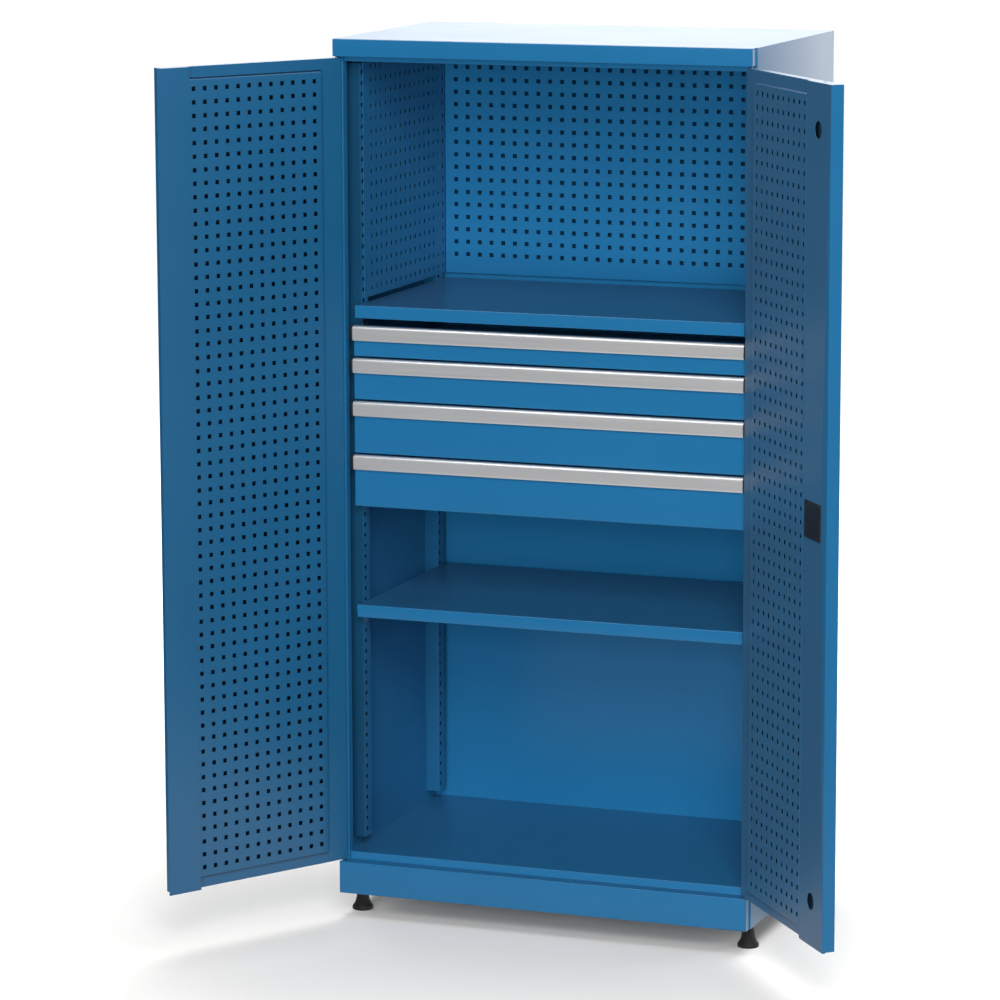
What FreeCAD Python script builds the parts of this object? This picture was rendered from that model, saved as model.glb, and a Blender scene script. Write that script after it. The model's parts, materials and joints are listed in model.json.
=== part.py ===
import FreeCAD, Part
import math
import os

from FreeCAD import Vector

# Sheet-steel materials cabinet, doors standing open. Millimetres, +Z up.
# The origin is on the floor under the middle of the footprint, the front faces -Y.

# overall
cabinet_width = 1000.0
carcass_depth = 600.0
front_projection = 25.0
cabinet_height = 2050.0
foot_height = 58.0
plinth_height = 76.0
cap_height = 40.0
cap_inset = 3.0

# sheet
sheet = 1.0
thin_sheet = 0.8
touch_gap = 0.3
running_fit = 0.05

# carcass
front_flange = 18.0
front_return = 23.5
rear_flange = 20.0
floor_level = 151.0
lip_setback = 35.5
rail_drop = 13.0
rail_return = 20.0
upright_width = 34.5
upright_depth = 40.0
upright_bottom = 175.0
upright_head_gap = 20.0
front_upright_setback = 59.5
rear_upright_setback = 66.5

# perforated panels of the upper compartment
hole_pitch = 30.0
hole_side = 8.0
side_margin = 26.0
end_margin = 40.0
back_panel_setback = 11.9
back_panel_inset = 2.0
panel_rise = 10.6
panel_head_gap = 18.2
side_panel_front = 73.5
side_panel_rear_gap = 0.6

# shelves and their hooks
upper_shelf_level = 1438.0
lower_shelf_level = 738.0
shelf_setback = 25.5
shelf_overlap = 3.0
shelf_side_gap = 1.5
shelf_rear_gap = 13.5
shelf_lip = 30.0
shelf_hem = 15.0
hook_drop = 48.0
hook_reach = 18.0
hook_wide = 20.0
hook_sheet = 2.0

# drawers
first_drawer_height = 75.0
second_drawer_height = 100.0
third_drawer_height = 125.0
fourth_drawer_height = 125.0
drawer_headroom = 16.5
drawer_gap = 4.0
drawer_side_gap = 12.5
drawer_setback = 23.5
drawer_return = 14.0
drawer_depth = 520.0
box_lift = 6.0
box_drop = 15.0
handle_height = 34.0
handle_depth = 11.0
handle_wall = 2.0
handle_nose = 4.0
handle_web = 4.0
end_cap = 7.0

# telescopic runners
runner_height = 36.0
runner_wall = 1.2
runner_member = 7.0
runner_play = 0.8
runner_split = 2.0
runner_length = 520.0
runner_front = 42.5
middle_web = 1.5

# doors
door_gap = 3.0
door_tray = 21.0
door_rise = 8.0
door_overhang = 4.5
hinge_inset = 8.5
hinge_depth = 12.0
left_angle = 120.93
right_angle = 129.01
tray_lift = 2.0
band_hinge = 54.0
band_end = 28.0
seat_width = 10.0
closing_return = 15.0
left_stile = 72.8
right_stile = 132.8
overlap_strip = 3.0
overlap_reach = 13.5
pin_radius = 3.0
pin_length = 22.0

# lock on the right door
lock_inset = 76.0
lock_plate_wide = 88.0
lock_plate_high = 81.0
lock_plate = 3.0
lock_case_wide = 80.0
lock_case_high = 72.0
lock_case_margin = 1.0
inspection_radius = 18.5
inspection_inset = 69.0
inspection_drop = 99.5
rod_wide = 14.0
rod_thick = 5.0
rod_fit = 0.5
rod_inset = 2.0
rod_engage = 12.0
hub_radius = 12.0
hub_length = 24.0
lever_length = 105.0
lever_wide = 20.0
lever_thick = 10.0

# feet
foot_side_inset = 25.0
foot_end_inset = 88.5
foot_base_radius = 25.0
foot_neck_radius = 12.5
foot_flare_top = 34.0
plate_sheet = 3.0
plate_reach = 62.0
plate_wide = 80.0
plate_leg = 40.0

# levels and planes that follow
half = cabinet_width / 2
front = -(carcass_depth + front_projection) / 2
rear = -front
flange_plane = front + front_projection
plinth_top = foot_height + plinth_height
cap_bottom = cabinet_height - cap_height
side_top = cabinet_height - sheet
inner = half - sheet
wall = inner - upright_width
stop_plane = front + lip_setback
opening_half = half - front_flange
cap_half = half - cap_inset
rear_face = rear - 2 * sheet
hinge_half = half - hinge_inset
hinge_y = front + hinge_depth
door_low = plinth_top + door_gap
door_high = cap_bottom - door_gap
door_edge = hinge_half - door_gap / 2
tray_back = front + door_tray
door_back = tray_back + door_rise
lock_back = door_back - touch_gap
upright_top = cap_bottom - upright_head_gap
panel_bottom = upper_shelf_level + panel_rise
panel_top = cap_bottom - panel_head_gap
foot_x = half - foot_side_inset
foot_y = rear - foot_end_inset

up = Vector(0, 0, 1)
parts = {}


def box(x0, x1, y0, y1, z0, z1):
    return Part.makeBox(x1 - x0, y1 - y0, z1 - z0, Vector(x0, y0, z0))


def mirrored(shape):
    return shape.mirror(Vector(0, 0, 0), Vector(1, 0, 0))


def prism(points, run):
    return Part.Face(Part.makePolygon(points + points[:1])).extrude(run)


def folded(path, run, thickness=sheet):
    # a sheet folded along the path, its thickness laid to the left, extruded along run
    steps = [(b - a).normalize() for a, b in zip(path, path[1:])]
    lefts = [Vector(run).normalize().cross(step) for step in steps]
    other = [path[0] + lefts[0] * thickness]
    for corner, before, after in zip(path[1:], lefts, lefts[1:]):
        other.append(corner + (before + after) * (thickness / (1 + before.dot(after))))
    other.append(path[-1] + lefts[-1] * thickness)
    return prism(path + other[::-1], run)


def across(path, half_width):
    # path of (y, z) pairs folded and run across the cabinet
    points = [Vector(-half_width, y, z) for y, z in path]
    return folded(points, Vector(2 * half_width, 0, 0))


def upward(path, z0, z1):
    # path of (x, y) pairs folded and run upward
    points = [Vector(x, y, z0) for x, y in path]
    return folded(points, Vector(0, 0, z1 - z0))


def drilled(shape, x, y, z, radius, depth):
    return shape.cut(Part.makeCylinder(radius, depth, Vector(x, y, z), up))


# side panels with a returned front flange and a rear flange
side = upward(
    [
        (-half + rear_flange, rear),
        (-half, rear),
        (-half, flange_plane),
        (-opening_half, flange_plane),
        (-opening_half, flange_plane + front_return),
    ],
    foot_height,
    side_top,
)
parts["left_side_panel"] = side
parts["right_side_panel"] = mirrored(side)

# rear panel, held inside the rear flanges
parts["rear_panel"] = box(-inner, inner, rear_face, rear_face + sheet, foot_height, side_top)

# the lock rods of the closed door enter slots in the cap and the plinth
rod_x = hinge_half - door_edge + lock_inset
rod_y = front + door_tray / 2


def slotted(shape, x, y, z, depth):
    # slot for a flat lock rod
    wide = rod_wide / 2 + rod_fit
    thick = rod_thick / 2 + rod_fit
    return shape.cut(box(x - wide, x + wide, y - thick, y + thick, z, z + depth))


# top cap with its fascia, closed at the ends, and the underside above the doors
cap = across(
    [(rear, cabinet_height), (front, cabinet_height), (front, cap_bottom), (flange_plane, cap_bottom)],
    half,
)
for x in (-half, cap_half):
    cap = cap.cut(box(x, x + cap_inset, front, flange_plane, cap_bottom, cabinet_height))
for x in (-cap_half, cap_half - sheet):
    cap = cap.fuse(box(x, x + sheet, front, flange_plane, cap_bottom, cabinet_height))
parts["top_cap"] = slotted(cap.removeSplitter(), rod_x, rod_y, cap_bottom, sheet)

# plinth board between the feet and the doors, closed at the ends
plinth = across(
    [(flange_plane, plinth_top), (front, plinth_top), (front, foot_height), (flange_plane, foot_height)],
    cap_half,
)
for x in (-cap_half, cap_half - sheet):
    plinth = plinth.fuse(box(x, x + sheet, front, flange_plane, foot_height, plinth_top))
parts["plinth"] = slotted(plinth.removeSplitter(), rod_x, rod_y, plinth_top - sheet, sheet)

# floor panel: ledge, raised lip, floor
floor = across(
    [
        (rear_face, floor_level),
        (stop_plane, floor_level),
        (stop_plane, plinth_top),
        (flange_plane, plinth_top),
    ],
    inner,
)
return_plane = flange_plane + front_return
for x in (-inner, opening_half):
    corner = box(x, x + inner - opening_half, flange_plane, return_plane, plinth_top - sheet, floor_level)
    floor = floor.cut(corner)
parts["floor_panel"] = floor

# rail behind the door tops
parts["front_rail"] = across(
    [
        (flange_plane, cap_bottom),
        (stop_plane, cap_bottom),
        (stop_plane, cap_bottom - rail_drop),
        (stop_plane + rail_return, cap_bottom - rail_drop),
    ],
    opening_half,
)

# slotted uprights against both sides, front and rear
upright_fronts = {
    "front": flange_plane + front_upright_setback,
    "rear": rear - rear_upright_setback,
}
for place, y in upright_fronts.items():
    upright = upward(
        [(-inner, y), (-wall, y), (-wall, y + upright_depth), (-inner, y + upright_depth)],
        upright_bottom,
        upright_top,
    )
    parts["left_%s_upright" % place] = upright
    parts["right_%s_upright" % place] = mirrored(upright)

# perforated back panel, hung clear of the rear panel on its folded ends
back_face = rear - back_panel_setback
back_panel_half = wall - back_panel_inset
back_panel = across(
    [
        (rear_face, panel_top),
        (back_face, panel_top),
        (back_face, panel_bottom),
        (rear_face, panel_bottom),
    ],
    back_panel_half,
)
panel_middle = (panel_bottom + panel_top) / 2


def hole_places(length, margin):
    # hole centres spread evenly about the middle of a length, clear of its ends
    count = int((length - 2 * margin) // hole_pitch) + 1
    return [(number - (count - 1) / 2) * hole_pitch for number in range(count)]


punches = []
for x in hole_places(2 * back_panel_half, side_margin):
    for rise in hole_places(panel_top - panel_bottom, end_margin):
        z = panel_middle + rise
        reach = hole_side / 2
        punches.append(box(x - reach, x + reach, back_face, back_face + sheet, z - reach, z + reach))
parts["perforated_back_panel"] = back_panel.cut(Part.makeCompound(punches))

# perforated side panels, flat sheets on the upright faces
side_panel = box(
    -wall,
    -wall + sheet,
    flange_plane + side_panel_front,
    back_face - side_panel_rear_gap,
    panel_bottom,
    panel_top - sheet,
)
parts["left_perforated_panel"] = side_panel
parts["right_perforated_panel"] = mirrored(side_panel)

# shelves: a front lip with a hem, a rear fold, sides cut back behind the lip
shelf_face = flange_plane + shelf_setback
shelf_half = wall + shelf_overlap
shelf_body_half = wall - shelf_side_gap
shelf_rear = rear_face - shelf_rear_gap
shelf_levels = {"upper_shelf": upper_shelf_level, "lower_shelf": lower_shelf_level}
for name, level in shelf_levels.items():
    shelf = across(
        [
            (shelf_rear, level - shelf_lip),
            (shelf_rear, level),
            (shelf_face, level),
            (shelf_face, level - shelf_lip),
            (shelf_face + shelf_hem, level - shelf_lip),
        ],
        shelf_half,
    )
    trim = shelf_half - shelf_body_half
    for x in (-shelf_half, shelf_body_half):
        shelf = shelf.cut(box(x, x + trim, shelf_face + shelf_hem, rear, level - shelf_lip, level))
    parts[name] = shelf

# shelf hooks on the upright faces, four to a shelf
hooks = []
for level in shelf_levels.values():
    for y in upright_fronts.values():
        hook = folded(
            [
                Vector(-wall, y + 2 * sheet, level - sheet - hook_drop),
                Vector(-wall, y + 2 * sheet, level - sheet),
                Vector(-wall + hook_reach, y + 2 * sheet, level - sheet),
            ],
            Vector(0, hook_wide, 0),
            hook_sheet,
        )
        hooks += [hook, mirrored(hook)]
parts["shelf_hooks"] = Part.makeCompound(hooks)

# telescopic runners: a channel on the uprights, an H-shaped middle member, a channel on the drawer
runner_y = flange_plane + runner_front
runner_run = Vector(0, runner_length, 0)


def channel(x, reach, level):
    # web at x, both flanges reaching to x + reach
    top = runner_height / 2
    inside = top - runner_wall
    web = math.copysign(runner_wall, reach)
    outline = [
        (x, -top), (x + reach, -top), (x + reach, -inside), (x + web, -inside),
        (x + web, inside), (x + reach, inside), (x + reach, top), (x, top),
    ]
    return prism([Vector(a, runner_y, level + b) for a, b in outline], runner_run)


def middle_member(x0, x1, level):
    # two flanges joined by a web at their middle
    top = runner_height / 2 - runner_wall - runner_play
    inside = top - runner_wall
    left = (x0 + x1 - middle_web) / 2
    right = left + middle_web
    outline = [
        (x0, -top), (x1, -top), (x1, -inside), (right, -inside), (right, inside), (x1, inside),
        (x1, top), (x0, top), (x0, inside), (left, inside), (left, -inside), (x0, -inside),
    ]
    return prism([Vector(a, runner_y, level + b) for a, b in outline], runner_run)


def pair(shape):
    return Part.makeCompound([shape, mirrored(shape)])


# drawers from the top down
face = flange_plane + drawer_setback
grip = face - handle_depth
box_half = wall - 2 * runner_member - runner_split
cabinet_runners = []
drawer_half = opening_half - drawer_side_gap
drawer_heights = (first_drawer_height, second_drawer_height, third_drawer_height, fourth_drawer_height)
top = upper_shelf_level - shelf_lip - drawer_headroom
for number, height in enumerate(drawer_heights, 1):
    name = "drawer_%d" % number
    low = top - height + drawer_gap
    parts[name + "_front"] = across(
        [(face + drawer_return, top), (face, top), (face, low), (face + drawer_return, low)],
        drawer_half,
    )

    # open box behind the front
    box_low = low + box_lift
    box_high = top - box_drop
    box_front = face + sheet
    box_rear = box_front + drawer_depth
    shell = box(-box_half, box_half, box_front, box_rear, box_low, box_high)
    hollow = box(
        -box_half + thin_sheet,
        box_half - thin_sheet,
        box_front + thin_sheet,
        box_rear - thin_sheet,
        box_low + thin_sheet,
        box_high,
    )
    parts[name + "_box"] = shell.cut(hollow)

    # handle strip: bevelled top edge, upright face, lower edge turned in, finger gap behind
    low_edge = top - handle_height
    turn = low_edge + 2 * handle_wall
    grip_back = grip + handle_wall
    outer_line = [
        Vector(-drawer_half, face, top),
        Vector(-drawer_half, grip + handle_nose, top),
        Vector(-drawer_half, grip, top - handle_nose),
        Vector(-drawer_half, grip, turn),
        Vector(-drawer_half, grip_back, low_edge),
    ]
    inner_line = [
        Vector(-drawer_half, grip_back + handle_wall, low_edge),
        Vector(-drawer_half, grip_back, turn),
        Vector(-drawer_half, grip_back, top - handle_web),
        Vector(-drawer_half, face, top - handle_web),
    ]
    parts[name + "_handle"] = prism(outer_line + inner_line, Vector(2 * drawer_half, 0, 0))

    # moulded caps close the ends of the strip
    cap_end = prism(outer_line + [Vector(-drawer_half, face, low_edge)], Vector(-end_cap, 0, 0))
    parts[name + "_handle_caps"] = pair(cap_end)

    # runners of this drawer
    level = (box_low + box_high) / 2
    cabinet_runners.append(channel(-wall, runner_member, level))
    parts[name + "_runners"] = pair(channel(-box_half, -runner_member, level))
    member_x0 = -wall + runner_wall + runner_play
    member_x1 = -box_half - runner_wall - runner_play
    parts["runner_%d_middle" % number] = pair(middle_member(member_x0, member_x1, level))
    top -= height
parts["cabinet_runners"] = pair(Part.makeCompound(cabinet_runners))


# doors, drawn closed with the hinge on the left, then mirrored for the right one and swung open
def hung(shape, is_left):
    if is_left:
        leaf = shape.copy()
        leaf.rotate(Vector(-hinge_half, hinge_y, 0), up, -left_angle)
        return leaf
    leaf = mirrored(shape)
    leaf.rotate(Vector(hinge_half, hinge_y, 0), up, right_angle)
    return leaf


def pan(x0, x1, y0, y1, z0, z1):
    # shallow tray open towards -Y
    hollow = box(x0 + thin_sheet, x1 - thin_sheet, y0, y1 - thin_sheet, z0 + thin_sheet, z1 - thin_sheet)
    return box(x0, x1, y0, y1, z0, z1).cut(hollow)


def bore(shape, x, z, radius, y0, y1):
    return shape.cut(Part.makeCylinder(radius, y1 - y0, Vector(x, y0, z), Vector(0, 1, 0)))


hinge_edge = -hinge_half - door_overhang
closing_edge = -hinge_half + door_edge
tray_low = door_low + tray_lift
panel_low = door_low + band_end
panel_high = door_high - band_end
panel_hinge = -hinge_half + band_hinge
window_x0 = panel_hinge + seat_width
window_x1 = closing_edge - closing_return

skin = box(hinge_edge, closing_edge, front, tray_back, tray_low, door_high)
skin = skin.cut(
    box(
        hinge_edge + thin_sheet,
        closing_edge - thin_sheet,
        front + thin_sheet,
        tray_back - thin_sheet,
        tray_low + thin_sheet,
        door_high - thin_sheet,
    )
)
skin = skin.cut(
    box(
        window_x0,
        window_x1,
        tray_back - thin_sheet,
        tray_back,
        panel_low + seat_width,
        panel_high - seat_width,
    )
)
for z in (tray_low, door_high - thin_sheet):
    skin = drilled(skin, -hinge_half, hinge_y, z, pin_radius + running_fit, thin_sheet)

lock_x = closing_edge - lock_inset
lock_level = (door_low + door_high) / 2
lock_skin = skin.copy()
for z in (tray_low, door_high - thin_sheet):
    lock_skin = slotted(lock_skin, lock_x, rod_y, z, thin_sheet)
lock_skin = bore(lock_skin, lock_x, lock_level, hub_radius + running_fit, front, front + thin_sheet)
parts["left_door_skin"] = hung(skin, True)
parts["right_door_skin"] = hung(lock_skin, False)

for is_left, stile_width in ((True, left_stile), (False, right_stile)):
    door = "left_door" if is_left else "right_door"
    panel_edge = closing_edge - stile_width
    panel = pan(panel_hinge, panel_edge, tray_back, door_back, panel_low, panel_high)
    parts[door + "_panel"] = hung(panel, is_left)
    stile_back = door_back if is_left else lock_back
    stile = pan(panel_edge, closing_edge, tray_back, stile_back, door_low, door_high)
    if is_left:
        strip_edge = closing_edge + overlap_reach
        strip = box(panel_edge, strip_edge, door_back, door_back + overlap_strip, door_low, door_high)
        parts["left_door_overlap_strip"] = hung(strip, True)
    else:
        wide = lock_case_wide / 2 + lock_case_margin
        high = lock_case_high / 2 + lock_case_margin
        stile = stile.cut(
            box(lock_x - wide, lock_x + wide, tray_back, lock_back, lock_level - high, lock_level + high)
        )
        inspection_x = closing_edge - inspection_inset
        for z in (door_low + inspection_drop, door_high - inspection_drop):
            stile = bore(stile, inspection_x, z, inspection_radius, tray_back, lock_back)
    parts[door + "_stile"] = hung(stile, is_left)

# lock case with a flanged cover inside, slotted for the two rods
case_front = front + 3 * thin_sheet
case = box(
    lock_x - lock_case_wide / 2,
    lock_x + lock_case_wide / 2,
    case_front,
    lock_back,
    lock_level - lock_case_high / 2,
    lock_level + lock_case_high / 2,
)
cover = box(
    lock_x - lock_plate_wide / 2,
    lock_x + lock_plate_wide / 2,
    lock_back,
    lock_back + lock_plate,
    lock_level - lock_plate_high / 2,
    lock_level + lock_plate_high / 2,
)
cover_rim = [edge for edge in cover.Edges if edge.BoundBox.YMin > lock_back + lock_plate / 2]
case = case.fuse(cover.makeChamfer(lock_plate / 2, cover_rim)).removeSplitter()
case = slotted(case, lock_x, rod_y, lock_level - lock_case_high / 2, lock_case_high)
parts["lock_case"] = hung(case, False)


# flat rods in the hollow stile, drawn back
def lock_rod(z0, z1):
    wide = rod_wide / 2
    thick = rod_thick / 2
    return box(lock_x - wide, lock_x + wide, rod_y - thick, rod_y + thick, z0, z1)


parts["upper_lock_rod"] = hung(lock_rod(lock_level + rod_engage, door_high - rod_inset), False)
parts["lower_lock_rod"] = hung(lock_rod(tray_low + rod_inset, lock_level - rod_engage), False)

# turning handle on the outer face: hub through the skin and a tapered lever
hub_face = front - hub_length
hub_end = case_front - touch_gap
hub_start = Vector(lock_x, hub_face, lock_level)
hub = Part.makeCylinder(hub_radius, hub_end - hub_face, hub_start, Vector(0, 1, 0))
lever = prism(
    [
        Vector(lock_x, hub_face, lock_level - hub_radius),
        Vector(lock_x, hub_face, lock_level + hub_radius),
        Vector(lock_x - lever_length, hub_face, lock_level + lever_wide / 2),
        Vector(lock_x - lever_length, hub_face, lock_level - lever_wide / 2),
    ],
    Vector(0, lever_thick, 0),
)
parts["lock_handle"] = hung(hub.fuse(lever).removeSplitter(), False)

# hinge pins under the cap and on the plinth
pins = []
for x in (-hinge_half, hinge_half):
    pins.append(Part.makeCylinder(pin_radius, pin_length, Vector(x, hinge_y, cap_bottom), -up))
    pins.append(Part.makeCylinder(pin_radius, pin_length, Vector(x, hinge_y, plinth_top), up))
parts["hinge_pins"] = Part.makeCompound(pins)

# foot plates against the sides and the levelling feet under them
plates = []
feet = []
foot_outline = [
    (0, 0),
    (foot_base_radius, 0),
    (foot_neck_radius, foot_flare_top),
    (foot_neck_radius, foot_height),
    (0, foot_height),
    (0, 0),
]
foot_section = Part.Face(Part.makePolygon([Vector(r, 0, z) for r, z in foot_outline]))
for sign in (-1, 1):
    y = sign * foot_y - plate_wide / 2
    plate = folded(
        [
            Vector(-inner + plate_reach, y, foot_height),
            Vector(-inner, y, foot_height),
            Vector(-inner, y, foot_height + plate_leg),
        ],
        Vector(0, plate_wide, 0),
        plate_sheet,
    )
    foot = foot_section.revolve(Vector(0, 0, 0), up, 360)
    foot.translate(Vector(-foot_x, sign * foot_y, 0))
    plates += [plate, mirrored(plate)]
    feet += [foot, mirrored(foot)]
parts["foot_plates"] = Part.makeCompound(plates)
parts["levelling_feet"] = Part.makeCompound(feet)

os.makedirs("parts", exist_ok=True)
for name, shape in parts.items():
    shape.exportStep("parts/%s.step" % name)
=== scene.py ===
import bmesh
import bpy
import itertools
import json
import math
from mathutils import Matrix, Vector


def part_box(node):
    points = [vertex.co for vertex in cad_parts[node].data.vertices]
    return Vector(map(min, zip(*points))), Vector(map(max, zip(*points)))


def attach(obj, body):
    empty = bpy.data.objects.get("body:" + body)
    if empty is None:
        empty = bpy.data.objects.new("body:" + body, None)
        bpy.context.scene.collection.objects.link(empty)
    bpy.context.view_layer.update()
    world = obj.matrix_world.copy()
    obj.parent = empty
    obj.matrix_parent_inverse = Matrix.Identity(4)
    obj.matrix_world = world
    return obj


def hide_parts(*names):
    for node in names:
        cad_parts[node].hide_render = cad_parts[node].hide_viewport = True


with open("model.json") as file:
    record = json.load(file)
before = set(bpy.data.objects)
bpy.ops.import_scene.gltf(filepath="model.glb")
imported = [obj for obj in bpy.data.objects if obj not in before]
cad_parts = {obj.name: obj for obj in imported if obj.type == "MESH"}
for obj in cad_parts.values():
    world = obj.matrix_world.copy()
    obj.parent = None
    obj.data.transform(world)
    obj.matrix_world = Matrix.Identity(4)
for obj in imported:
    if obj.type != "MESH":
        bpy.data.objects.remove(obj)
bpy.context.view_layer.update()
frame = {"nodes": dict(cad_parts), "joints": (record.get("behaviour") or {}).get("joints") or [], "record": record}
nodes = frame["nodes"]
joints = {joint["name"]: joint for joint in frame["joints"]}
slots = {entry["node"]: entry["material_slot"] for entry in frame["record"]["subparts"]}
sides = {"left": 1, "right": -1}  # sheets are drawn for the left and mirrored
xAxis = Vector((1, 0, 0))
yAxis = Vector((0, 1, 0))
zAxis = Vector((0, 0, 1))
gauge = 0.001  # steel sheet of the carcass
doorGauge = 0.0008
print("frame loaded:", len(nodes), "nodes")


# shader sockets that can be added, multiplied and compared
class Wire:
    def __init__(self, tree, socket):
        self.tree = tree
        self.socket = socket

    def math(self, operation, *values):
        inputs = {"i%d" % k: value for k, value in enumerate(values)}
        return addNode(self.tree, "ShaderNodeMath", {"operation": operation}, **inputs)

    def __add__(self, other):
        return self.math("ADD", self, other)

    def __sub__(self, other):
        return self.math("SUBTRACT", self, other)

    def __mul__(self, other):
        return self.math("MULTIPLY", self, other)

    def __gt__(self, level):
        return self.math("GREATER_THAN", self, level)

    def __lt__(self, level):
        return self.math("LESS_THAN", self, level)

    def __rsub__(self, other):
        return self.math("SUBTRACT", other, self)

    __radd__ = __add__
    __rmul__ = __mul__

    def near(self, middle, reach):
        return self.math("COMPARE", self, middle, reach)


# a node of any type, with sockets given by name, or by place as i0, i1 and so on
def addNode(tree, kind, settings=None, out=0, **inputs):
    node = tree.nodes.new(kind)
    for key, value in (settings or {}).items():
        setattr(node, key, value)
    for key, value in inputs.items():
        byPlace = key[0] == "i" and key[1:].isdigit()
        socket = node.inputs[int(key[1:]) if byPlace else key.replace("_", " ")]
        if isinstance(value, Wire):
            tree.links.new(value.socket, socket)
        else:
            socket.default_value = value
    return Wire(tree, node.outputs[out])


def newMaterial(name):
    material = bpy.data.materials.new(name)
    material.use_nodes = True
    tree = material.node_tree
    return material, tree, tree.nodes["Principled BSDF"]


def feed(tree, shader, socketName, wire):
    tree.links.new(wire.socket, shader.inputs[socketName])


def feedBump(tree, shader, height, relief):
    feed(tree, shader, "Normal", addNode(tree, "ShaderNodeBump", Height=height, **relief))


def coordinate(tree, kind="Object"):
    return addNode(tree, "ShaderNodeTexCoord", out=kind)


def alongAxis(tree, vector, axis):
    return addNode(tree, "ShaderNodeVectorMath", {"operation": "DOT_PRODUCT"}, "Value", i0=vector, i1=axis)


def objectNoise(tree, scale, detail=2.0, stretch=(1, 1, 1)):
    spot = addNode(tree, "ShaderNodeVectorMath", {"operation": "MULTIPLY"}, i0=coordinate(tree), i1=stretch)
    return addNode(tree, "ShaderNodeTexNoise", Vector=spot, Scale=scale, Detail=detail)


def mixColour(tree, share, low, high):
    return addNode(tree, "ShaderNodeMix", {"data_type": "RGBA"}, 2, i0=share, i6=low, i7=high)


# powder coat: slight drift of the blue, orange-peel skin; darker copies of the blue as painted shade on inner
# faces, near-black painted shade behind the punched sheets
paint = {"coat": ((0.012, 0.140, 0.320, 1), (0.016, 0.165, 0.365, 1)),
         # painted shade: darker copies of the blue for the door insides and the upright fronts
         "doorInsideShade": ((0.011, 0.106, 0.236, 1), (0.015, 0.126, 0.270, 1)),
         "frontUpright": ((0.005, 0.050, 0.112, 1), (0.006, 0.058, 0.128, 1)),
         "rearUpright": ((0.009, 0.098, 0.222, 1), (0.012, 0.114, 0.254, 1)),
         "paintedShadeBehind": (0.003, 0.024, 0.055, 1), "cloudScale": 3.0, "cloudDetail": 3.0,
         "rough": 0.25, "roughDrift": 0.10, "haze": 0.015, "hazeSpread": 0.45,
         "peelScale": 900, "peelDetail": 1.0, "peel": {"Strength": 0.12, "Distance": 0.0002}, "facing": 0.5}


# middle and half length, with a margin at both ends
def span(start, end, margin=0.0):
    return (start + end) / 2, (end - start) / 2 + margin


# faces that look along inward get the inner colour as painted shade; those behind a panel get near-black painted
# shade
def paintMaterial(name, inward=None, inner=paint["coat"], behind=None, haze=paint["haze"]):
    material, tree, shader = newMaterial(name)
    cloud = objectNoise(tree, paint["cloudScale"], paint["cloudDetail"])
    colour = mixColour(tree, cloud, *paint["coat"])
    # painted shade: faces looking along inward take the darker inner colour
    if inward:
        zone = alongAxis(tree, coordinate(tree, "Normal"), inward) > paint["facing"]
        colour = mixColour(tree, zone, colour, mixColour(tree, cloud, *inner))
    # near-black painted shade on the faces behind a punched sheet, so its holes read dark
    if behind:
        spot = coordinate(tree)
        zone = zone * alongAxis(tree, spot, behind["axis"]).near(*behind["run"])
        zone = zone * alongAxis(tree, spot, zAxis).near(*behind["level"])
        colour = mixColour(tree, zone, colour, paint["paintedShadeBehind"])
    feed(tree, shader, "Base Color", colour)
    feed(tree, shader, "Roughness", cloud * paint["roughDrift"] + paint["rough"])
    feedBump(tree, shader, objectNoise(tree, paint["peelScale"], paint["peelDetail"]), paint["peel"])
    shader.inputs["Sheen Weight"].default_value = haze
    shader.inputs["Sheen Roughness"].default_value = paint["hazeSpread"]
    return material


# drawn aluminium with fine lines along the strip
strip = {"shade": (0.64, 0.64, 0.645, 1), "colour": (0.76, 0.76, 0.76, 1), "metal": 0.55,
         "rough": 0.30, "roughDrift": 0.16, "lineScale": 420, "lineDetail": 3.0,
         "drawn": (0.01, 1, 1), "relief": {"Strength": 0.15, "Distance": 0.0001}}


def aluminiumMaterial():
    material, tree, shader = newMaterial("drawnAluminium")
    lines = objectNoise(tree, strip["lineScale"], strip["lineDetail"], strip["drawn"])
    feed(tree, shader, "Base Color", mixColour(tree, lines, strip["shade"], strip["colour"]))
    feed(tree, shader, "Roughness", lines * strip["roughDrift"] + strip["rough"])
    feedBump(tree, shader, lines, strip["relief"])
    shader.inputs["Metallic"].default_value = strip["metal"]
    return material


# zinc plate with a faint spangle
zinc = {"shade": (0.50, 0.51, 0.53, 1), "colour": (0.66, 0.67, 0.68, 1), "rough": 0.28,
        "roughDrift": 0.15, "spangleScale": 160.0}


def zincMaterial():
    material, tree, shader = newMaterial("zincPlate")
    spangle = addNode(tree, "ShaderNodeTexVoronoi", Vector=coordinate(tree), Scale=zinc["spangleScale"])
    feed(tree, shader, "Base Color", mixColour(tree, spangle, zinc["shade"], zinc["colour"]))
    feed(tree, shader, "Roughness", spangle * zinc["roughDrift"] + zinc["rough"])
    shader.inputs["Metallic"].default_value = 1.0
    return material


# moulded black parts, grained
moulded = {"shade": (0.008, 0.008, 0.009, 1), "colour": (0.020, 0.020, 0.021, 1), "roughDrift": 0.2,
           "relief": {"Strength": 0.3, "Distance": 0.0003},
           "plastic": {"rough": 0.38, "grainScale": 1400}, "rubber": {"rough": 0.52, "grainScale": 900}}


def mouldedMaterial(name, rough, grainScale):
    material, tree, shader = newMaterial(name)
    grain = objectNoise(tree, grainScale)
    feed(tree, shader, "Base Color", mixColour(tree, grain, moulded["shade"], moulded["colour"]))
    feed(tree, shader, "Roughness", grain * moulded["roughDrift"] + rough)
    feedBump(tree, shader, grain, moulded["relief"])
    return material


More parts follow.
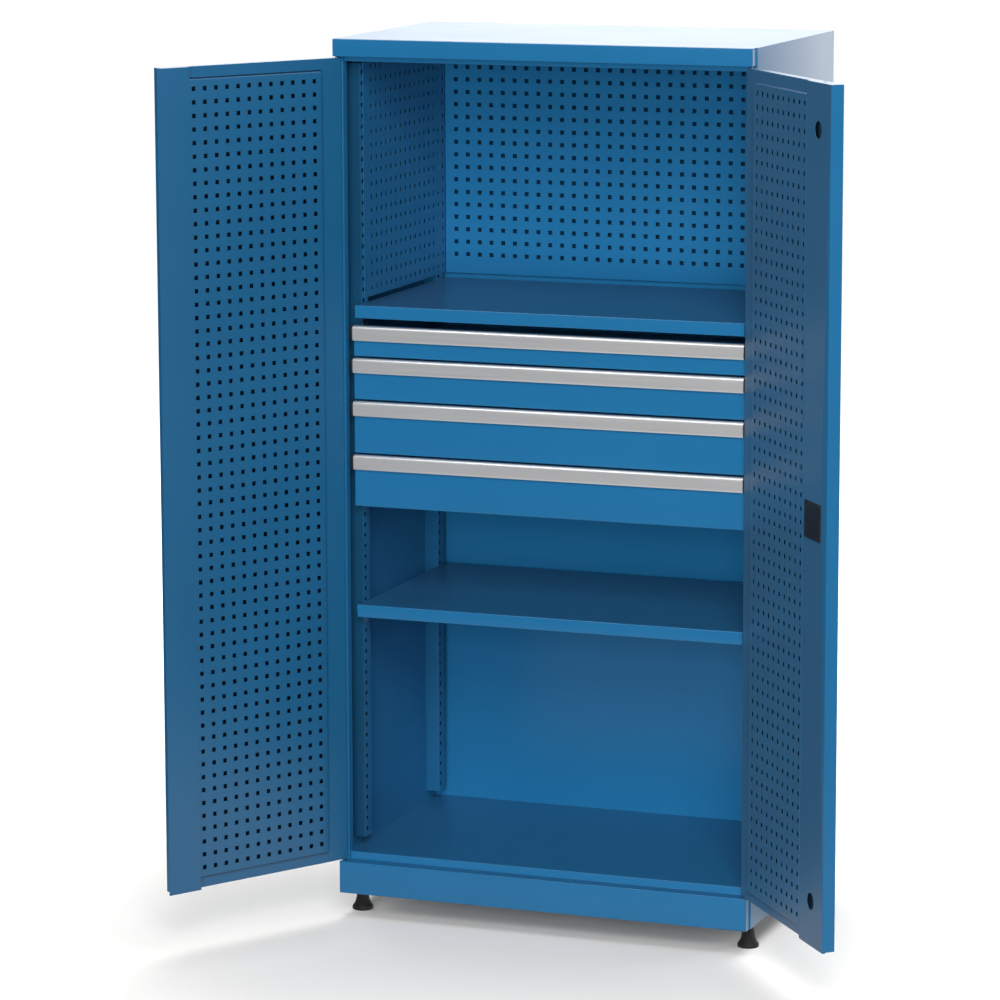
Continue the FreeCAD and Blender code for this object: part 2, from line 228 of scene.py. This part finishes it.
finishes = {
    "blue_paint": paintMaterial("bluePowderCoat"),
    "handle_aluminium": aluminiumMaterial(),
    "zinc_steel": zincMaterial(),
    "black_plastic": mouldedMaterial("grainedBlackPlastic", **moulded["plastic"]),
    "black_rubber": mouldedMaterial("mattBlackRubber", **moulded["rubber"]),
}
# these coats carry painted shade: darker inner faces, near-black faces behind the punched sheets
ownFinishes = {}  # nodes with a coat of their own
print("finishes:", len(finishes))


# turns a closed door's place into its place at rest
def openTurn(jointName):
    joint = joints[jointName]
    pivot = Matrix.Translation(Vector(joint["pos_m"]))
    swing = Matrix.Rotation(math.radians(-joint["range_deg"][0]), 4, Vector(joint["axis"]))
    return pivot @ swing @ pivot.inverted()


def closedBox(node, turn):
    back = turn.inverted()
    points = [back @ v.co for v in nodes[node].data.vertices]
    low = Vector([min(p[i] for p in points) for i in range(3)])
    high = Vector([max(p[i] for p in points) for i in range(3)])
    return low, high


meshing = {"weld": 1e-6, "sharpAngle": 40, "bevelAngle": 35, "straight": 0.999, "seam": 0.00001}


# a finished piece that rides on its body and stands for its CAD nodes
def place(name, bm, body, slotName, replaced, turn=None, finish=None):
    bmesh.ops.remove_doubles(bm, verts=bm.verts, dist=meshing["weld"])
    bmesh.ops.recalc_face_normals(bm, faces=bm.faces)
    mesh = bpy.data.meshes.new(name)
    bm.to_mesh(mesh)
    bm.free()
    if turn is not None:
        mesh.transform(turn)
    mesh.shade_smooth()
    mesh.set_sharp_from_angle(angle=math.radians(meshing["sharpAngle"]))
    piece = bpy.data.objects.new(name, mesh)
    bpy.context.scene.collection.objects.link(piece)
    mesh.materials.append(finish or finishes[slotName])
    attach(piece, body)
    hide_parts(*replaced)
    return piece


def soften(piece, width, segments=2):
    bevel = piece.modifiers.new("softEdges", "BEVEL")
    bevel.width = width
    bevel.segments = segments
    bevel.limit_method = "ANGLE"
    bevel.angle_limit = math.radians(meshing["bevelAngle"])


bendSteps = 5
afterBend = bendSteps + 2  # the second flat cell past a sheet's first bend


# both faces of a sheet bent along a path, the thickness on the left of the walk
def bent(path, run, thickness, radius):
    walks = [(b - a).normalized() for a, b in zip(path, path[1:])]
    lefts = [run.cross(walk) for walk in walks]
    faces = [(path[0], path[0] + lefts[0] * thickness)]
    for corner, before, after, walk in zip(path[1:], lefts, lefts[1:], walks):
        if before.dot(after) > meshing["straight"]:
            faces.append((corner, corner + before * thickness))
            continue
        side = 1 if after.dot(walk) < 0 else -1  # bends towards its thickness, or away
        near = radius if side > 0 else radius - thickness
        centre = corner + (before + after) / (1 + before.dot(after)) * (side * near)
        for step in range(bendSteps + 1):
            out = before.slerp(after, step / bendSteps)
            faces.append((centre - out * (side * near), centre - out * (side * near - thickness)))
    faces.append((path[-1], path[-1] + lefts[-1] * thickness))
    return faces


# sheet along its stations, with the cells that isOpen names left out and walled
def sheetMesh(bm, faces, run, stations, isOpen=None):
    lift = lambda point, station: bm.verts.new(point + run * station)
    grid = [[(lift(a, s), lift(b, s)) for s in stations] for a, b in faces]
    rows = len(faces) - 1
    columns = len(stations) - 1
    solid = [[not (isOpen and isOpen(i, j)) for j in range(columns)] for i in range(rows)]
    filled = lambda i, j: 0 <= i < rows and 0 <= j < columns and solid[i][j]
    for i, j in itertools.product(range(rows), range(columns)):
        if not solid[i][j]:
            continue
        corners = [grid[i][j], grid[i + 1][j], grid[i + 1][j + 1], grid[i][j + 1]]
        for side in (0, 1):
            bm.faces.new([c[side] for c in corners])
        neighbours = [(i, j - 1), (i + 1, j), (i, j + 1), (i - 1, j)]
        for k, cell in enumerate(neighbours):
            if not filled(*cell):
                a, b = corners[k], corners[(k + 1) % 4]
                bm.faces.new((a[0], b[0], b[1], a[1]))
    return bm


def blockMesh(bm, low, high):
    made = bmesh.ops.create_cube(bm, size=1.0)
    for vert in made["verts"]:
        vert.co = Vector([(low[i] + high[i]) / 2 + vert.co[i] * (high[i] - low[i]) for i in range(3)])


def mirrorMesh(bm, mirror):
    bmesh.ops.scale(bm, vec=(mirror, 1, 1), verts=bm.verts)


# paths across the depth, and in plan
def across(points):
    return [Vector((0, y, z)) for y, z in points]


def inPlan(points, level=0.0):
    return [Vector((x, y, level)) for x, y in points]


sideLow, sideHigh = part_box("left_side_panel")
capLow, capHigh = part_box("top_cap")
plinthLow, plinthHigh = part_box("plinth")
railLow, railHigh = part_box("front_rail")
floorLow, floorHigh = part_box("floor_panel")
folds = {"radius": 0.0024, "frontFlange": 0.018, "frontReturn": 0.0235, "rearFlange": 0.020,
         "fasciaInset": 0.003, "stopBehind": 0.0105, "cheekGap": 0.0002, "catchGap": 0.0005}
flangeY = sideLow.y
returnY = flangeY + folds["frontReturn"]
stopY = flangeY + folds["stopBehind"]
openingHalf = -sideLow.x - folds["frontFlange"]

# slots in cap and plinth that catch the lock rods once the right door is closed
rodLow, rodHigh = closedBox("upper_lock_rod", openTurn("right_door_hinge"))
catchX = (rodLow.x - folds["catchGap"], rodHigh.x + folds["catchGap"])
catchY = (rodLow.y - folds["catchGap"], rodHigh.y + folds["catchGap"])


def folded(path, run, stations, isOpen=None, radius=folds["radius"], thickness=gauge):
    return sheetMesh(bmesh.new(), bent(path, run, thickness, radius), run, stations, isOpen)


def makeSides():
    path = [(sideLow.x + folds["rearFlange"], sideHigh.y), (sideLow.x, sideHigh.y), (sideLow.x, flangeY),
            (-openingHalf, flangeY), (-openingHalf, returnY)]
    for name, mirror in sides.items():
        bm = folded(inPlan(path, sideLow.z), zAxis, (0, sideHigh.z - sideLow.z))
        mirrorMesh(bm, mirror)
        low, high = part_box(name + "_perforated_panel")
        # near-black painted shade on the side sheet's inner face behind the punched side panel
        behind = {"axis": yAxis, "run": span(low.y, high.y), "level": span(low.z, high.z)}
        coat = paintMaterial(name + "SideCoat", inward=xAxis * mirror, behind=behind)
        place(name + "SideSheet", bm, "carcass", "blue_paint", [name + "_side_panel"], finish=coat)


def addCheeks(bm, low, high, starts):
    gap = folds["cheekGap"]
    for x in starts:
        blockMesh(bm, (x, low.y + gap, low.z + gap), (x + gauge, flangeY, high.z - gap))


def makeCap():
    half = capHigh.x
    short = half - folds["fasciaInset"]
    path = [(capHigh.y, capHigh.z), (flangeY, capHigh.z), (capLow.y, capHigh.z), (capLow.y, capLow.z)]
    path += [(y, capLow.z) for y in (*catchY, flangeY)]
    catchRow = afterBend + bendSteps + 2  # between the slot's lines, past the second bend
    isCut = lambda i, j: (i > 0 and j in (0, 4)) or (i == catchRow and j == 2)
    bm = folded(across(path), xAxis, (-half, -short, *catchX, short, half), isCut)
    addCheeks(bm, capLow, capHigh, (-short, short - gauge))
    place("capSheet", bm, "carcass", "blue_paint", ["top_cap"])


def makePlinth():
    path = [(y, plinthHigh.z) for y in (flangeY, *catchY[::-1], plinthLow.y)]
    path += [(plinthLow.y, plinthLow.z), (flangeY, plinthLow.z)]
    isCatch = lambda i, j: i == 1 and j == 1
    bm = folded(across(path), xAxis, (plinthLow.x, *catchX, plinthHigh.x), isCatch)
    addCheeks(bm, plinthLow, plinthHigh, (plinthLow.x, plinthHigh.x - gauge))
    place("plinthBoard", bm, "carcass", "blue_paint", ["plinth"])


def makeFloorAndRail():
    lipZ = floorLow.z + gauge
    path = [(y, floorHigh.z) for y in (floorHigh.y, returnY, stopY)]
    path += [(stopY, lipZ), (flangeY, lipZ)]
    isNotch = lambda i, j: i > 0 and j != 1
    bm = folded(across(path), xAxis, (floorLow.x, -openingHalf, openingHalf, floorHigh.x), isNotch)
    place("floorSheet", bm, "carcass", "blue_paint", ["floor_panel"])

    path = [(flangeY, railHigh.z), (stopY, railHigh.z), (stopY, railLow.z), (railHigh.y, railLow.z)]
    bm = folded(across(path), xAxis, (railLow.x, railHigh.x))
    place("frontRailSheet", bm, "carcass", "blue_paint", ["front_rail"])


# uprights with a row of hook slots down the leg that faces inward
slotted = {"pitch": 0.025, "tall": 0.0085, "fromCorner": 0.004, "deep": 0.011, "firstSlot": 0.015}


def makeUprights():
    coats = {}
    # painted shade: the front-facing faces of the uprights get a darker copy of the blue, darkest on the front
    # ones
    for end in ("front", "rear"):
        coats[end] = paintMaterial(end + "UprightCoat", inward=-yAxis, inner=paint[end + "Upright"])
    for (side, mirror), end in itertools.product(sides.items(), ("front", "rear")):
        node = side + "_" + end + "_upright"
        low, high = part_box(node)
        outer, inner = (low.x, high.x) if mirror > 0 else (-high.x, -low.x)
        slotY = low.y + slotted["fromCorner"]
        path = [(outer, low.y), (inner, low.y), (inner, slotY), (inner, slotY + slotted["deep"]),
                (inner, high.y), (outer, high.y)]
        stations = [0]
        level = slotted["firstSlot"]
        while level + slotted["tall"] < high.z - low.z:
            stations += [level, level + slotted["tall"]]
            level += slotted["pitch"]
        stations.append(high.z - low.z)
        isSlot = lambda i, j: i == afterBend and j % 2 == 1
        bm = folded(inPlan(path, low.z), zAxis, stations, isSlot)
        mirrorMesh(bm, mirror)
        name = side + end.title() + "SlottedUpright"
        place(name, bm, "carcass", "blue_paint", [node], finish=coats[end])


# square-hole sheet: lines at each hole's two edges
punched = {"pitch": 0.030, "hole": 0.010}


def holeLines(start, end, centres):
    lines = [start]
    for centre in centres:
        lines += [centre - punched["hole"] / 2, centre + punched["hole"] / 2]
    return lines + [end]


# holes lie in every second cell after the first bend
def punchTest(count):
    return lambda i, j: j % 2 == 1 and 0 <= i - afterBend < 2 * count - 1 and (i - afterBend) % 2 == 0


sideHoles = {"firstColumn": -0.16525, "firstRow": 1.9782, "edge": 0.012}
backHoles = {"rows": 16, "columns": 30}


def makeSidePanels():
    for name in sides:
        low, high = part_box(name + "_perforated_panel")
        columns = []
        y = sideHoles["firstColumn"]
        while y + sideHoles["edge"] < high.y:
            columns.append(y)
            y += punched["pitch"]
        rows = []
        z = sideHoles["firstRow"]
        while z - sideHoles["edge"] > low.z:
            if z + sideHoles["edge"] < high.z:
                rows.append(z)
            z -= punched["pitch"]
        lines = holeLines(low.y, high.y, columns)
        faces = [(Vector((low.x, y, 0)), Vector((high.x, y, 0))) for y in lines]
        stations = holeLines(low.z, high.z, rows[::-1])
        bm = sheetMesh(bmesh.new(), faces, zAxis, stations, lambda i, j: i % 2 == 1 and j % 2 == 1)
        place(name + "PunchedPanel", bm, "carcass", "blue_paint", [name + "_perforated_panel"])


def makeBackPanel():
    low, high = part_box("perforated_back_panel")
    middle = (low.z + high.z) / 2
    spread = lambda count: [(k - (count - 1) / 2) * punched["pitch"] for k in range(count)]
    levels = holeLines(low.z, high.z, [middle + rise for rise in spread(backHoles["rows"])])
    path = [(high.y, high.z)] + [(low.y, z) for z in levels[::-1]] + [(high.y, low.z)]
    stations = holeLines(low.x, high.x, spread(backHoles["columns"]))
    bm = folded(across(path), xAxis, stations, punchTest(backHoles["rows"]))
    place("backPunchedPanel", bm, "carcass", "blue_paint", ["perforated_back_panel"])

    # the rear panel carries near-black painted shade behind it
    rearLow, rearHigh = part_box("rear_panel")
    behind = {"axis": xAxis, "run": span(rearLow.x, rearHigh.x), "level": span(low.z, rearHigh.z)}
    ownFinishes["rear_panel"] = paintMaterial("rearPowderCoat", inward=-yAxis, behind=behind)


makeSides()
makeCap()
makePlinth()
makeFloorAndRail()
makeUprights()
makeSidePanels()
makeBackPanel()
print("carcass dressed")

# shelves: front lip with a hem, rear fold
shelf = {"hem": 0.015, "bodyHalf": 0.463}


def makeShelves():
    for name in ("upper", "lower"):
        low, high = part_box(name + "_shelf")
        hemY = low.y + shelf["hem"]
        path = [(high.y, low.z)] + [(y, high.z) for y in (high.y, hemY, low.y)]
        path += [(low.y, low.z), (hemY, low.z)]
        stations = (low.x, -shelf["bodyHalf"], shelf["bodyHalf"], high.x)
        isTrimmed = lambda i, j: i < afterBend and j != 1  # fits between the uprights
        bm = folded(across(path), xAxis, stations, isTrimmed)
        place(name + "ShelfSheet", bm, "carcass", "blue_paint", [name + "_shelf"])


# drawers: folded front, drawn handle strip, moulded end caps
drawer = {"count": 4, "foldReturn": 0.014, "foldRadius": 0.0026, "wall": 0.002, "web": 0.004,
          "nose": 0.0085, "noseSteps": 6, "chin": 0.003, "chinSteps": 3, "capRound": 0.0022, "capSteps": 3}


def roundCorner(before, corner, after, radius, steps):
    a = (before - corner).normalized()
    b = (after - corner).normalized()
    spread = math.acos(max(-1, min(1, a.dot(b))))
    setback = radius / math.tan(spread / 2)
    centre = corner + (a + b).normalized() * (radius / math.sin(spread / 2))
    start = corner + a * setback - centre
    end = corner + b * setback - centre
    return [centre + start.slerp(end, k / steps).normalized() * radius for k in range(steps + 1)]


def prismMesh(bm, loop, run):
    first = [bm.verts.new(p) for p in loop]
    last = [bm.verts.new(p + run) for p in loop]
    bm.faces.new(first)
    bm.faces.new(last[::-1])
    for k in range(len(loop)):
        n = (k + 1) % len(loop)
        bm.faces.new((first[k], first[n], last[n], last[k]))
    return bm


def makeDrawers():
    for number in range(1, drawer["count"] + 1):
        body = "drawer_%d" % number
        low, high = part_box(body + "_front")
        returned = low.y + drawer["foldReturn"]
        path = [(returned, high.z), (low.y, high.z), (low.y, low.z), (returned, low.z)]
        bm = folded(across(path), xAxis, (low.x, high.x), radius=drawer["foldRadius"])
        place("drawerFront%d" % number, bm, body, "blue_paint", [body + "_front"])

        low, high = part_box(body + "_handle")
        wall = drawer["wall"]
        chinZ = low.z + 2 * wall
        webZ = high.z - drawer["web"]
        p = lambda y, z: Vector((low.x, y, z))
        rear, nose = p(high.y, high.z), p(low.y, high.z)
        chin, foot = p(low.y, chinZ), p(low.y + wall, low.z)
        outer = [rear]
        outer += roundCorner(rear, nose, p(low.y, low.z), drawer["nose"], drawer["noseSteps"])
        outer += roundCorner(nose, chin, foot, drawer["chin"], drawer["chinSteps"])
        outer += [foot]
        inner = [p(low.y + 2 * wall, low.z), p(low.y + wall, chinZ), p(low.y + wall, webZ), p(high.y, webZ)]
        bm = prismMesh(bmesh.new(), outer + inner, xAxis * (high.x - low.x))
        place("handleStrip%d" % number, bm, body, "handle_aluminium", [body + "_handle"])

        endsLow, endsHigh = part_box(body + "_handle_caps")
        bm = bmesh.new()
        for start, end in ((low.x, endsLow.x), (high.x, endsHigh.x)):
            ring = [Vector((start, v.y, v.z)) for v in outer + [p(high.y, low.z)]]
            prismMesh(bm, ring, xAxis * (end - start))
        ends = place("handleEnds%d" % number, bm, body, "black_plastic", [body + "_handle_caps"])
        soften(ends, drawer["capRound"], drawer["capSteps"])


makeShelves()
makeDrawers()
print("drawers and shelves dressed")

# doors: punched panels on both leaves
# seam: how far the near-black painted shade behind each panel reaches past its edge, a painted shadow line round
# the left panel
doorPanel = {"farMargin": 0.012, "topMargin": 0.021, "columns": {"left": 12, "right": 10}, "rows": 60,
             "foldRadius": 0.002, "foldReach": 0.005, "seam": {"left": 0.0032, "right": 0.0},
             "haze": {"left": 0.03, "right": 0.09}}


# painted shade: darker on the inner faces of the doors, near-black behind their panels
def coatDoor(name, turn, low, high):
    axis = turn.to_3x3() @ xAxis
    shift = turn.translation.dot(axis)
    margin = doorPanel["seam"][name]
    run = span(low.x + shift, high.x + shift, margin)
    behind = {"axis": axis, "run": run, "level": span(low.z, high.z, margin)}
    # painted shade: the door's inner faces take a darker copy of the blue
    look = {"inward": turn.to_3x3() @ yAxis, "inner": paint["doorInsideShade"], "haze": doorPanel["haze"][name]}
    coat = paintMaterial(name + "DoorCoat", **look)
    for part in ("panel", "stile", "overlap_strip"):
        ownFinishes[name + "_door_" + part] = coat
    ownFinishes[name + "_door_skin"] = paintMaterial(name + "DoorSkinCoat", behind=behind, **look)


def makeDoorPanels():
    reach = doorPanel["foldReach"]
    radius = doorPanel["foldRadius"]
    for name, mirror in sides.items():
        node = name + "_door_panel"
        turn = openTurn(name + "_door_hinge")
        low, high = closedBox(node, turn)
        coatDoor(name, turn, low, high)
        x0, x1 = (low.x, high.x) if mirror > 0 else (-high.x, -low.x)
        last = x1 - doorPanel["farMargin"]
        columns = [last - punched["pitch"] * k for k in range(doorPanel["columns"][name])][::-1]
        top = high.z - doorPanel["topMargin"]
        rows = [top - punched["pitch"] * k for k in range(doorPanel["rows"])][::-1]
        path = [(x0, low.y)] + [(x, high.y) for x in holeLines(x0, x1, columns)] + [(x1, low.y)]
        stations = holeLines(low.z + reach, high.z - reach, rows)
        bm = folded(inPlan(path[::-1]), zAxis, stations, punchTest(len(columns)), radius, doorGauge)
        topFold = [(high.y, high.z - reach), (high.y, high.z), (low.y, high.z)]
        lowFold = [(low.y, low.z), (high.y, low.z), (high.y, low.z + reach)]
        for fold in (topFold, lowFold):
            faces = bent(across(fold), xAxis, doorGauge, radius)
            sheetMesh(bm, faces, xAxis, (x0 + radius, x1 - radius))
        mirrorMesh(bm, mirror)
        place(name + "DoorPunchedPanel", bm, name + "_door", "blue_paint", [node], turn, ownFinishes[node])


makeDoorPanels()
print("doors dressed")

# levelling feet: moulded bells with a base rim, as radius and height
bell = {"outline": [(0.0, 0.0), (0.0238, 0.0), (0.0248, 0.0012), (0.0248, 0.0060), (0.0236, 0.0085),
                    (0.0200, 0.0130), (0.0170, 0.0200), (0.0150, 0.0290), (0.0134, 0.0400),
                    (0.0126, 0.0520), (0.0124, 0.0580), (0.0, 0.0580)],
        "sides": 48}


def ringAt(bm, centre, radius):
    turns = bell["sides"] if radius else 1
    angles = [2 * math.pi * k / turns for k in range(turns)]
    return [bm.verts.new(centre + Vector((math.cos(a), math.sin(a), 0)) * radius) for a in angles]


def makeFeet():
    low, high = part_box("levelling_feet")
    rim = max(radius for radius, height in bell["outline"])
    bm = bmesh.new()
    for x, y in itertools.product((low.x + rim, high.x - rim), (low.y + rim, high.y - rim)):
        rings = [ringAt(bm, Vector((x, y, low.z + height)), radius) for radius, height in bell["outline"]]
        for a, b in zip(rings, rings[1:]):
            for k in range(bell["sides"]):
                n = (k + 1) % bell["sides"]
                corners = [a[k % len(a)], a[n % len(a)], b[n % len(b)], b[k % len(b)]]
                bm.faces.new(list(dict.fromkeys(corners)))  # three corners at the poles
    place("levellingFeet", bm, "carcass", "black_rubber", ["levelling_feet"])


makeFeet()

# the other nodes keep their solids, with softened folds
edges = {"blue_paint": 0.00035, "zinc_steel": 0.0003, "black_plastic": 0.0012, "handle_aluminium": 0.0005,
         "black_rubber": 0.0005}
for name, node in nodes.items():
    node.data.materials.clear()
    node.data.materials.append(ownFinishes.get(name, finishes[slots[name]]))
    if node.hide_render:
        continue
    weld = node.modifiers.new("seams", "WELD")
    weld.merge_threshold = meshing["seam"]
    soften(node, edges[slots[name]])
print("finishes on the kept solids")

floorOnly = bpy.data.collections.new("floorOnly")  # what the floor's own light reaches

# pale floor with painted light: it glows dim near the object and white away from it
stage = {"size": 60.0, "low": (0.84, 0.83, 0.815, 1), "high": (0.88, 0.87, 0.855, 1), "driftScale": 0.6,
         "glow": (0.035, 0.033, 0.030, 1), "clear": (1.0, 1.0, 1.0, 1), "clearFrom": 1.2, "clearTo": 3.5,
         "rough": 0.8}


def makeStage():
    material, tree, shader = newMaterial("paleFloor")
    drift = objectNoise(tree, stage["driftScale"])
    away = addNode(tree, "ShaderNodeVectorMath", {"operation": "LENGTH"}, "Value", i0=coordinate(tree))
    clear = addNode(tree, "ShaderNodeMapRange", {"interpolation_type": "SMOOTHSTEP"}, Value=away,
                    From_Min=stage["clearFrom"], From_Max=stage["clearTo"])
    feed(tree, shader, "Base Color", mixColour(tree, drift, stage["low"], stage["high"]))
    # painted light: the floor's own glow, dim near the object and white from clearTo outwards
    feed(tree, shader, "Emission Color", mixColour(tree, clear, stage["glow"], stage["clear"]))
    shader.inputs["Emission Strength"].default_value = 1.0
    shader.inputs["Roughness"].default_value = stage["rough"]
    shader.inputs["Specular IOR Level"].default_value = 0.0
    bm = bmesh.new()
    bmesh.ops.create_grid(bm, x_segments=1, y_segments=1, size=stage["size"] / 2)
    mesh = bpy.data.meshes.new("studioFloor")
    bm.to_mesh(mesh)
    bm.free()
    mesh.materials.append(material)
    floor = bpy.data.objects.new("studioFloor", mesh)
    bpy.context.scene.collection.objects.link(floor)
    floor.visible_glossy = False
    floor.visible_diffuse = False
    floor.visible_shadow = False
    floorOnly.objects.link(floor)


def softLight(name, energy, size, position, target, mirrored=True, diffuse=True, onlyFloor=False):
    lamp = bpy.data.lights.new(name, "AREA")
    lamp.energy = energy
    lamp.shape = "RECTANGLE"
    lamp.size, lamp.size_y = size
    light = bpy.data.objects.new(name, lamp)
    light.location = position
    light.rotation_euler = (Vector(target) - Vector(position)).to_track_quat("-Z", "Y").to_euler()
    light.visible_camera = False
    light.visible_glossy = mirrored
    light.visible_diffuse = diffuse
    if onlyFloor:
        light.light_linking.receiver_collection = floorOnly
    bpy.context.scene.collection.objects.link(light)


# a soft key from the right of the camera, fills, a panel above and walls that only show as reflections
ambient = 0.03
lights = {
    "key": {"energy": 330, "size": (3.0, 3.0), "position": (2.7, -6.8, 5.0), "target": (0, 0, 1.1)},
    "fill": {"energy": 420, "size": (4.0, 3.0), "position": (1.5, -8.0, 1.8), "target": (0, 0, 1.0),
             "mirrored": False},
    "ceiling": {"energy": 230, "size": (5.0, 5.0), "position": (0.3, 2.4, 5.2), "target": (0.2, 0.2, 0)},
    "floorLight": {"energy": 232, "size": (6.0, 6.0), "position": (0.5, 0.2, 5.0), "target": (0.5, 0.2, 0),
                   "onlyFloor": True},
    "rearFill": {"energy": 130, "size": (3.0, 3.0), "position": (-5.5, 4.0, 2.5), "target": (0, 0, 1.0),
                 "mirrored": False},
    "rearSideFill": {"energy": 130, "size": (3.0, 3.0), "position": (5.5, 3.6, 2.5), "target": (0, 0, 1.0),
                     "mirrored": False},
    "backWall": {"energy": 255, "size": (9.0, 4.2), "position": (-0.9, 5.0, 3.2), "target": (-0.9, 0, 2.6),
                 "diffuse": False},
    "lowBackWall": {"energy": 90, "size": (8.0, 4.0), "position": (2.0, 5.0, -1.2), "target": (2.0, 0, -1.2),
                    "diffuse": False},
    "rightWall": {"energy": 80, "size": (6.0, 6.0), "position": (6.0, 0.5, 1.0), "target": (0, 0.5, 1.0),
                  "diffuse": False},
    "strip": {"energy": 70, "size": (3.0, 1.0), "position": (-1.2, -1.9, 4.6), "target": (-0.2, -0.3, 1.2),
              "diffuse": False},
    "floorCard": {"energy": 18, "size": (4.0, 2.6), "position": (0.3, -1.3, 0.002),
                  "target": (0.3, -1.3, 2.0), "diffuse": False},
}


def makeLight():
    world = bpy.data.worlds.new("studio")
    bpy.context.scene.world = world
    world.use_nodes = True
    tree = world.node_tree
    seen = addNode(tree, "ShaderNodeLightPath", out="Is Camera Ray")
    back = tree.nodes["Background"]
    back.inputs["Color"].default_value = (1, 1, 1, 1)
    feed(tree, back, "Strength", seen * (1 - ambient) + ambient)
    for name, settings in lights.items():
        softLight(name, **settings)
    bpy.context.scene.view_settings.view_transform = "Standard"


shot = {"place": (3.32678, -9.41900, 2.72702), "lens": 156.63, "sensor": 36, "reach": 200,
        "yaw": 20.5908, "pitch": 9.9818, "roll": -0.1333}


def makeCamera():
    yaw, pitch, roll = (math.radians(shot[key]) for key in ("yaw", "pitch", "roll"))
    ahead = Vector((-math.sin(yaw) * math.cos(pitch), math.cos(yaw) * math.cos(pitch), -math.sin(pitch)))
    right = ahead.cross(zAxis).normalized()
    up = right.cross(ahead)
    level = Matrix((right, up, -ahead)).transposed()
    data = bpy.data.cameras.new("photoView")
    data.lens = shot["lens"]
    data.sensor_width = shot["sensor"]
    data.clip_end = shot["reach"]
    camera = bpy.data.objects.new("photoView", data)
    camera.matrix_world = Matrix.Translation(shot["place"]) @ level.to_4x4() @ Matrix.Rotation(roll, 4, "Z")
    bpy.context.scene.collection.objects.link(camera)
    bpy.context.scene.camera = camera


makeStage()
makeLight()
makeCamera()
print("stage, light and camera set")
